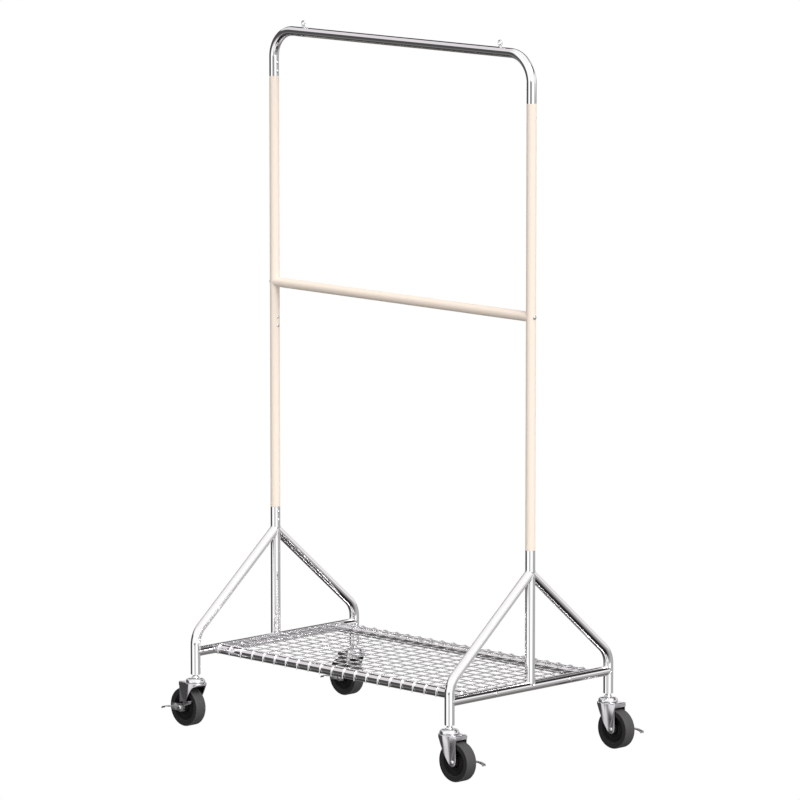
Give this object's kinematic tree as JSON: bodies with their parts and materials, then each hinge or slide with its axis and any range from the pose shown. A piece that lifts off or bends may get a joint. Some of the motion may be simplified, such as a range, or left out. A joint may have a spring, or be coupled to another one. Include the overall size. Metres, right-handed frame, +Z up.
{
  "type": "rolling clothes rack",
  "caption": "Rolling clothes rack with a chrome hang rail, painted posts and crossbar, a wire mesh shelf and braked swivel casters.",
  "frame": {"origin": "on the floor under the middle of the rack", "axes": "+Z up, +X along the hang rail to the right, +Y to the rear"},
  "size_m": [1.092, 0.649, 1.8078],
  "materials": {
    "chrome": "polished chrome plate on steel tube",
    "cream_paint": "cream powder coat, semi-gloss",
    "zinc": "bright zinc plate on pressed steel",
    "bright_steel": "bright plated fasteners",
    "bright_wire": "bright plated wire",
    "tyre_rubber": "matt black rubber",
    "black_plastic": "black moulded plastic"
  },
  "bodies": {
    "rack": {"top_rail": "chrome", "upper_post_left": "cream_paint", "upper_post_right": "cream_paint", "lower_post_left": "cream_paint", "lower_post_right": "cream_paint", "top_spigots": "zinc", "middle_spigots": "zinc", "bottom_spigots": "zinc", "joint_screws": "bright_steel", "crossbar": "cream_paint", "crossbar_plugs": "zinc", "crossbar_bolts": "bright_steel", "eye_bolt_left": "bright_steel", "eye_bolt_right": "bright_steel", "base_post_left": "chrome", "base_post_right": "chrome", "leg_front_left": "chrome", "leg_rear_left": "chrome", "leg_front_right": "chrome", "leg_rear_right": "chrome", "side_rail_left": "chrome", "side_rail_right": "chrome", "shelf_tube_front": "chrome", "shelf_tube_rear": "chrome", "shelf_strip_left": "zinc", "shelf_strip_right": "zinc", "shelf_mesh": "bright_wire", "shelf_wire_hooks": "bright_wire", "shelf_bolts": "bright_steel", "shelf_nuts": "bright_steel", "leg_sockets": "zinc", "swivel_balls": "bright_steel", "stem_front_left": "zinc", "stem_front_right": "zinc", "stem_rear_left": "zinc", "stem_rear_right": "zinc"},
    "caster_front_left": {"fork_front_left": "zinc", "axle_front_left": "bright_steel", "axle_sleeve_front_left": "bright_steel"},
    "wheel_front_left": {"wheel_core_front_left": "black_plastic", "tyre_front_left": "tyre_rubber"},
    "lever_front_left": {"brake_lever_front_left": "zinc"},
    "caster_front_right": {"fork_front_right": "zinc", "axle_front_right": "bright_steel", "axle_sleeve_front_right": "bright_steel"},
    "wheel_front_right": {"wheel_core_front_right": "black_plastic", "tyre_front_right": "tyre_rubber"},
    "lever_front_right": {"brake_lever_front_right": "zinc"},
    "caster_rear_left": {"fork_rear_left": "zinc", "axle_rear_left": "bright_steel", "axle_sleeve_rear_left": "bright_steel"},
    "wheel_rear_left": {"wheel_core_rear_left": "black_plastic", "tyre_rear_left": "tyre_rubber"},
    "lever_rear_left": {"brake_lever_rear_left": "zinc"},
    "caster_rear_right": {"fork_rear_right": "zinc", "axle_rear_right": "bright_steel", "axle_sleeve_rear_right": "bright_steel"},
    "wheel_rear_right": {"wheel_core_rear_right": "black_plastic", "tyre_rear_right": "tyre_rubber"},
    "lever_rear_right": {"brake_lever_rear_right": "zinc"}
  },
  "joints": [
    {"name": "swivel_front_left", "type": "hinge", "parent": "rack", "child": "caster_front_left", "pos_m": [-0.4575, -0.2855, 0.121], "axis": [0, 0, 1], "continuous": true},
    {"name": "spin_front_left", "type": "hinge", "parent": "caster_front_left", "child": "wheel_front_left", "pos_m": [-0.486, -0.2855, 0.05], "axis": [0, 1, 0], "continuous": true},
    {"name": "brake_front_left", "type": "hinge", "parent": "caster_front_left", "child": "lever_front_left", "pos_m": [-0.486, -0.2855, 0.05], "axis": [0, 1, 0], "range_deg": [0, 16]},
    {"name": "swivel_front_right", "type": "hinge", "parent": "rack", "child": "caster_front_right", "pos_m": [0.4575, -0.2855, 0.121], "axis": [0, 0, 1], "continuous": true},
    {"name": "spin_front_right", "type": "hinge", "parent": "caster_front_right", "child": "wheel_front_right", "pos_m": [0.486, -0.2855, 0.05], "axis": [0, 1, 0], "continuous": true},
    {"name": "brake_front_right", "type": "hinge", "parent": "caster_front_right", "child": "lever_front_right", "pos_m": [0.486, -0.2855, 0.05], "axis": [0, -1, 0], "range_deg": [0, 16]},
    {"name": "swivel_rear_left", "type": "hinge", "parent": "rack", "child": "caster_rear_left", "pos_m": [-0.4575, 0.2855, 0.121], "axis": [0, 0, 1], "continuous": true},
    {"name": "spin_rear_left", "type": "hinge", "parent": "caster_rear_left", "child": "wheel_rear_left", "pos_m": [-0.486, 0.2855, 0.05], "axis": [0, 1, 0], "continuous": true},
    {"name": "brake_rear_left", "type": "hinge", "parent": "caster_rear_left", "child": "lever_rear_left", "pos_m": [-0.486, 0.2855, 0.05], "axis": [0, 1, 0], "range_deg": [0, 16]},
    {"name": "swivel_rear_right", "type": "hinge", "parent": "rack", "child": "caster_rear_right", "pos_m": [0.4575, 0.2855, 0.121], "axis": [0, 0, 1], "continuous": true},
    {"name": "spin_rear_right", "type": "hinge", "parent": "caster_rear_right", "child": "wheel_rear_right", "pos_m": [0.486, 0.2855, 0.05], "axis": [0, 1, 0], "continuous": true},
    {"name": "brake_rear_right", "type": "hinge", "parent": "caster_rear_right", "child": "lever_rear_right", "pos_m": [0.486, 0.2855, 0.05], "axis": [0, -1, 0], "range_deg": [0, 16]}
  ]
}
